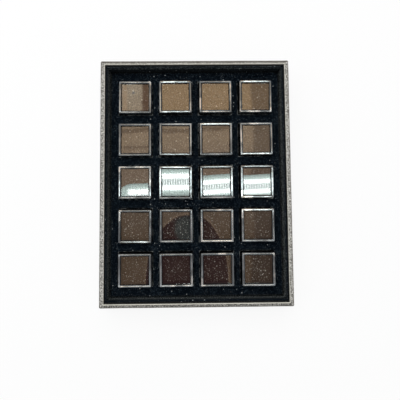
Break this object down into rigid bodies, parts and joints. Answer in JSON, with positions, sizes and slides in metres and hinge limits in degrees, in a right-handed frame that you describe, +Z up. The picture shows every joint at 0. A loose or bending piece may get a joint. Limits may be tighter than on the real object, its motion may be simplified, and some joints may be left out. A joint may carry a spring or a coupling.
{
  "type": "compartment display tray",
  "caption": "Open velvet-lined display tray with square glass-topped specimen boxes that lift out of its padded insert and whose lids lift off.",
  "frame": {"origin": "middle of the tray's underside, on the surface it stands on", "axes": "+X to the right across the columns, +Y to the back of the tray along its long side, +Z up out of the open tray"},
  "size_m": [0.1762, 0.2274, 0.0236],
  "materials": {
    "grained_covering": "silver-grey leatherette with a fine mottled grain",
    "grey_board": "plain grey board",
    "black_card": "black card",
    "black_felt": "short felt",
    "black_velvet": "short-pile velvet",
    "black_foam": "closed-cell foam",
    "specimen_pad": "dark brown foam pad",
    "black_plastic": "satin moulding",
    "polished_metal": "bright plated sheet metal",
    "clear_glass": "clear polished glass"
  },
  "bodies": {
    "tray": {"base_cover": "black_felt", "base_board": "grey_board", "wall_left": "grey_board", "wall_right": "grey_board", "wall_front": "grey_board", "wall_back": "grey_board", "outer_wrap": "grained_covering", "liner_left": "black_velvet", "liner_right": "black_velvet", "liner_front": "black_velvet", "liner_back": "black_velvet", "pocket_floor": "black_card", "insert_foam": "black_foam", "insert_velvet": "black_velvet"},
    "box_r1c1": {"box_base_r1c1": "black_plastic"},
    "lid_r1c1": {"box_lid_r1c1": "polished_metal"},
    "box_r1c2": {"box_base_r1c2": "black_plastic"},
    "lid_r1c2": {"box_lid_r1c2": "polished_metal"},
    "box_r1c3": {"box_base_r1c3": "black_plastic"},
    "lid_r1c3": {"box_lid_r1c3": "polished_metal"},
    "box_r1c4": {"box_base_r1c4": "black_plastic"},
    "lid_r1c4": {"box_lid_r1c4": "polished_metal"},
    "box_r2c1": {"box_base_r2c1": "black_plastic"},
    "lid_r2c1": {"box_lid_r2c1": "polished_metal"},
    "box_r2c2": {"box_base_r2c2": "black_plastic"},
    "lid_r2c2": {"box_lid_r2c2": "polished_metal"},
    "box_r2c3": {"box_base_r2c3": "black_plastic"},
    "lid_r2c3": {"box_lid_r2c3": "polished_metal"},
    "box_r2c4": {"box_base_r2c4": "black_plastic"},
    "lid_r2c4": {"box_lid_r2c4": "polished_metal"},
    "box_r3c1": {"box_base_r3c1": "black_plastic"},
    "lid_r3c1": {"box_lid_r3c1": "polished_metal"},
    "box_r3c2": {"box_base_r3c2": "black_plastic"},
    "lid_r3c2": {"box_lid_r3c2": "polished_metal"},
    "box_r3c3": {"box_base_r3c3": "black_plastic"},
    "lid_r3c3": {"box_lid_r3c3": "polished_metal"},
    "box_r3c4": {"box_base_r3c4": "black_plastic"},
    "lid_r3c4": {"box_lid_r3c4": "polished_metal"},
    "box_r4c1": {"box_base_r4c1": "black_plastic"},
    "lid_r4c1": {"box_lid_r4c1": "polished_metal"},
    "box_r4c2": {"box_base_r4c2": "black_plastic"},
    "lid_r4c2": {"box_lid_r4c2": "polished_metal"},
    "box_r4c3": {"box_base_r4c3": "black_plastic"},
    "lid_r4c3": {"box_lid_r4c3": "polished_metal"},
    "box_r4c4": {"box_base_r4c4": "black_plastic"},
    "lid_r4c4": {"box_lid_r4c4": "polished_metal"},
    "box_r5c1": {"box_base_r5c1": "black_plastic"},
    "lid_r5c1": {"box_lid_r5c1": "polished_metal"},
    "box_r5c2": {"box_base_r5c2": "black_plastic"},
    "lid_r5c2": {"box_lid_r5c2": "polished_metal"},
    "box_r5c3": {"box_base_r5c3": "black_plastic"},
    "lid_r5c3": {"box_lid_r5c3": "polished_metal"},
    "box_r5c4": {"box_base_r5c4": "black_plastic"},
    "lid_r5c4": {"box_lid_r5c4": "polished_metal"}
  },
  "joints": [
    {"name": "box_lift_r1c1", "type": "slide", "parent": "tray", "child": "box_r1c1", "axis": [0, 0, 1], "range_m": [0, 0.025]},
    {"name": "lid_lift_r1c1", "type": "slide", "parent": "box_r1c1", "child": "lid_r1c1", "axis": [0, 0, 1], "range_m": [0, 0.015]},
    {"name": "box_lift_r1c2", "type": "slide", "parent": "tray", "child": "box_r1c2", "axis": [0, 0, 1], "range_m": [0, 0.025]},
    {"name": "lid_lift_r1c2", "type": "slide", "parent": "box_r1c2", "child": "lid_r1c2", "axis": [0, 0, 1], "range_m": [0, 0.015]},
    {"name": "box_lift_r1c3", "type": "slide", "parent": "tray", "child": "box_r1c3", "axis": [0, 0, 1], "range_m": [0, 0.025]},
    {"name": "lid_lift_r1c3", "type": "slide", "parent": "box_r1c3", "child": "lid_r1c3", "axis": [0, 0, 1], "range_m": [0, 0.015]},
    {"name": "box_lift_r1c4", "type": "slide", "parent": "tray", "child": "box_r1c4", "axis": [0, 0, 1], "range_m": [0, 0.025]},
    {"name": "lid_lift_r1c4", "type": "slide", "parent": "box_r1c4", "child": "lid_r1c4", "axis": [0, 0, 1], "range_m": [0, 0.015]},
    {"name": "box_lift_r2c1", "type": "slide", "parent": "tray", "child": "box_r2c1", "axis": [0, 0, 1], "range_m": [0, 0.025]},
    {"name": "lid_lift_r2c1", "type": "slide", "parent": "box_r2c1", "child": "lid_r2c1", "axis": [0, 0, 1], "range_m": [0, 0.015]},
    {"name": "box_lift_r2c2", "type": "slide", "parent": "tray", "child": "box_r2c2", "axis": [0, 0, 1], "range_m": [0, 0.025]},
    {"name": "lid_lift_r2c2", "type": "slide", "parent": "box_r2c2", "child": "lid_r2c2", "axis": [0, 0, 1], "range_m": [0, 0.015]},
    {"name": "box_lift_r2c3", "type": "slide", "parent": "tray", "child": "box_r2c3", "axis": [0, 0, 1], "range_m": [0, 0.025]},
    {"name": "lid_lift_r2c3", "type": "slide", "parent": "box_r2c3", "child": "lid_r2c3", "axis": [0, 0, 1], "range_m": [0, 0.015]},
    {"name": "box_lift_r2c4", "type": "slide", "parent": "tray", "child": "box_r2c4", "axis": [0, 0, 1], "range_m": [0, 0.025]},
    {"name": "lid_lift_r2c4", "type": "slide", "parent": "box_r2c4", "child": "lid_r2c4", "axis": [0, 0, 1], "range_m": [0, 0.015]},
    {"name": "box_lift_r3c1", "type": "slide", "parent": "tray", "child": "box_r3c1", "axis": [0, 0, 1], "range_m": [0, 0.025]},
    {"name": "lid_lift_r3c1", "type": "slide", "parent": "box_r3c1", "child": "lid_r3c1", "axis": [0, 0, 1], "range_m": [0, 0.015]},
    {"name": "box_lift_r3c2", "type": "slide", "parent": "tray", "child": "box_r3c2", "axis": [0, 0, 1], "range_m": [0, 0.025]},
    {"name": "lid_lift_r3c2", "type": "slide", "parent": "box_r3c2", "child": "lid_r3c2", "axis": [0, 0, 1], "range_m": [0, 0.015]},
    {"name": "box_lift_r3c3", "type": "slide", "parent": "tray", "child": "box_r3c3", "axis": [0, 0, 1], "range_m": [0, 0.025]},
    {"name": "lid_lift_r3c3", "type": "slide", "parent": "box_r3c3", "child": "lid_r3c3", "axis": [0, 0, 1], "range_m": [0, 0.015]},
    {"name": "box_lift_r3c4", "type": "slide", "parent": "tray", "child": "box_r3c4", "axis": [0, 0, 1], "range_m": [0, 0.025]},
    {"name": "lid_lift_r3c4", "type": "slide", "parent": "box_r3c4", "child": "lid_r3c4", "axis": [0, 0, 1], "range_m": [0, 0.015]},
    {"name": "box_lift_r4c1", "type": "slide", "parent": "tray", "child": "box_r4c1", "axis": [0, 0, 1], "range_m": [0, 0.025]},
    {"name": "lid_lift_r4c1", "type": "slide", "parent": "box_r4c1", "child": "lid_r4c1", "axis": [0, 0, 1], "range_m": [0, 0.015]},
    {"name": "box_lift_r4c2", "type": "slide", "parent": "tray", "child": "box_r4c2", "axis": [0, 0, 1], "range_m": [0, 0.025]},
    {"name": "lid_lift_r4c2", "type": "slide", "parent": "box_r4c2", "child": "lid_r4c2", "axis": [0, 0, 1], "range_m": [0, 0.015]},
    {"name": "box_lift_r4c3", "type": "slide", "parent": "tray", "child": "box_r4c3", "axis": [0, 0, 1], "range_m": [0, 0.025]},
    {"name": "lid_lift_r4c3", "type": "slide", "parent": "box_r4c3", "child": "lid_r4c3", "axis": [0, 0, 1], "range_m": [0, 0.015]},
    {"name": "box_lift_r4c4", "type": "slide", "parent": "tray", "child": "box_r4c4", "axis": [0, 0, 1], "range_m": [0, 0.025]},
    {"name": "lid_lift_r4c4", "type": "slide", "parent": "box_r4c4", "child": "lid_r4c4", "axis": [0, 0, 1], "range_m": [0, 0.015]},
    {"name": "box_lift_r5c1", "type": "slide", "parent": "tray", "child": "box_r5c1", "axis": [0, 0, 1], "range_m": [0, 0.025]},
    {"name": "lid_lift_r5c1", "type": "slide", "parent": "box_r5c1", "child": "lid_r5c1", "axis": [0, 0, 1], "range_m": [0, 0.015]},
    {"name": "box_lift_r5c2", "type": "slide", "parent": "tray", "child": "box_r5c2", "axis": [0, 0, 1], "range_m": [0, 0.025]},
    {"name": "lid_lift_r5c2", "type": "slide", "parent": "box_r5c2", "child": "lid_r5c2", "axis": [0, 0, 1], "range_m": [0, 0.015]},
    {"name": "box_lift_r5c3", "type": "slide", "parent": "tray", "child": "box_r5c3", "axis": [0, 0, 1], "range_m": [0, 0.025]},
    {"name": "lid_lift_r5c3", "type": "slide", "parent": "box_r5c3", "child": "lid_r5c3", "axis": [0, 0, 1], "range_m": [0, 0.015]},
    {"name": "box_lift_r5c4", "type": "slide", "parent": "tray", "child": "box_r5c4", "axis": [0, 0, 1], "range_m": [0, 0.025]},
    {"name": "lid_lift_r5c4", "type": "slide", "parent": "box_r5c4", "child": "lid_r5c4", "axis": [0, 0, 1], "range_m": [0, 0.015]}
  ]
}
